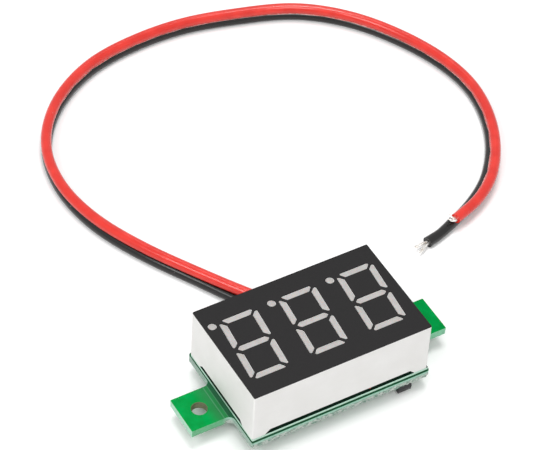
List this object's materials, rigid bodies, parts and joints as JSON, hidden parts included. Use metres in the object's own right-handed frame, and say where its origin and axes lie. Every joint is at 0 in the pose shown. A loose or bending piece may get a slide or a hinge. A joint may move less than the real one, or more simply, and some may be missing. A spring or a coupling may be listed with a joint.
{
  "type": "digital panel meter",
  "caption": "Small panel meter with a red-lit numeric display on a circuit board with screw ears and a two-wire lead.",
  "frame": {"origin": "middle of the display housing, on the surface that the meter lies on, face up; the middle of the circuit board is 0.15 mm from it towards -X and towards -Y", "axes": "+X along the row of digits and through both screw ears, +Y towards the tops of the digits, +Z out of the display's face"},
  "size_m": [0.0584, 0.0651, 0.0102],
  "materials": {
    "housing_white": "smooth moulded white plastic with a satin surface",
    "mask_black": "satin black printed face",
    "segment_grey": "pale grey diffused resin",
    "display_board_green": "thin glass-fibre board with a pale cut edge",
    "led_red": "bare light-emitting chips in clear resin",
    "board_green": "glossy green solder mask over glass fibre",
    "chip_black": "moulded black epoxy",
    "resistor_black": "black glaze on white ceramic",
    "capacitor_tan": "tan fired ceramic",
    "trimmer_ceramic": "off-white ceramic",
    "trimmer_metal": "plated sheet metal",
    "tinned_pin": "tinned, slightly dull",
    "tinned_lead": "bright tin plate",
    "solder": "smooth solder with a satin shine",
    "red_pvc": "soft red insulation with a waxy shine",
    "black_pvc": "soft black insulation with a waxy shine",
    "tinned_copper": "tinned copper strands"
  },
  "bodies": {
    "meter": {"display_housing": "housing_white", "face_mask": "mask_black", "display_board": "display_board_green", "led_dies": "led_red", "display_pins": "tinned_pin", "pin_solder_joints": "solder", "main_board": "board_green", "microcontroller": "chip_black", "microcontroller_leads": "tinned_lead", "voltage_regulator": "chip_black", "regulator_leads": "tinned_lead", "trimmer_base": "trimmer_ceramic", "trimmer_terminals": "tinned_lead", "protection_diode": "chip_black", "diode_leads": "tinned_lead", "chip_resistors": "resistor_black", "resistor_ends": "tinned_lead", "chip_capacitors": "capacitor_tan", "capacitor_ends": "tinned_lead", "lead_solder_joints": "solder", "red_lead": "red_pvc", "black_lead": "black_pvc", "red_conductor": "tinned_copper", "black_conductor": "tinned_copper", "segment_1a": "segment_grey", "segment_1b": "segment_grey", "segment_1c": "segment_grey", "segment_1d": "segment_grey", "segment_1e": "segment_grey", "segment_1f": "segment_grey", "segment_1g": "segment_grey", "decimal_point_1": "segment_grey", "segment_2a": "segment_grey", "segment_2b": "segment_grey", "segment_2c": "segment_grey", "segment_2d": "segment_grey", "segment_2e": "segment_grey", "segment_2f": "segment_grey", "segment_2g": "segment_grey", "decimal_point_2": "segment_grey", "segment_3a": "segment_grey", "segment_3b": "segment_grey", "segment_3c": "segment_grey", "segment_3d": "segment_grey", "segment_3e": "segment_grey", "segment_3f": "segment_grey", "segment_3g": "segment_grey", "decimal_point_3": "segment_grey"},
    "trimmer_rotor": {"trimmer_rotor": "trimmer_metal"}
  },
  "joints": [
    {"name": "trimmer_turn", "type": "hinge", "parent": "meter", "child": "trimmer_rotor", "pos_m": [-0.0046, 0, 0.0008], "axis": [0, 0, 1], "range_deg": [-120, 120]}
  ]
}
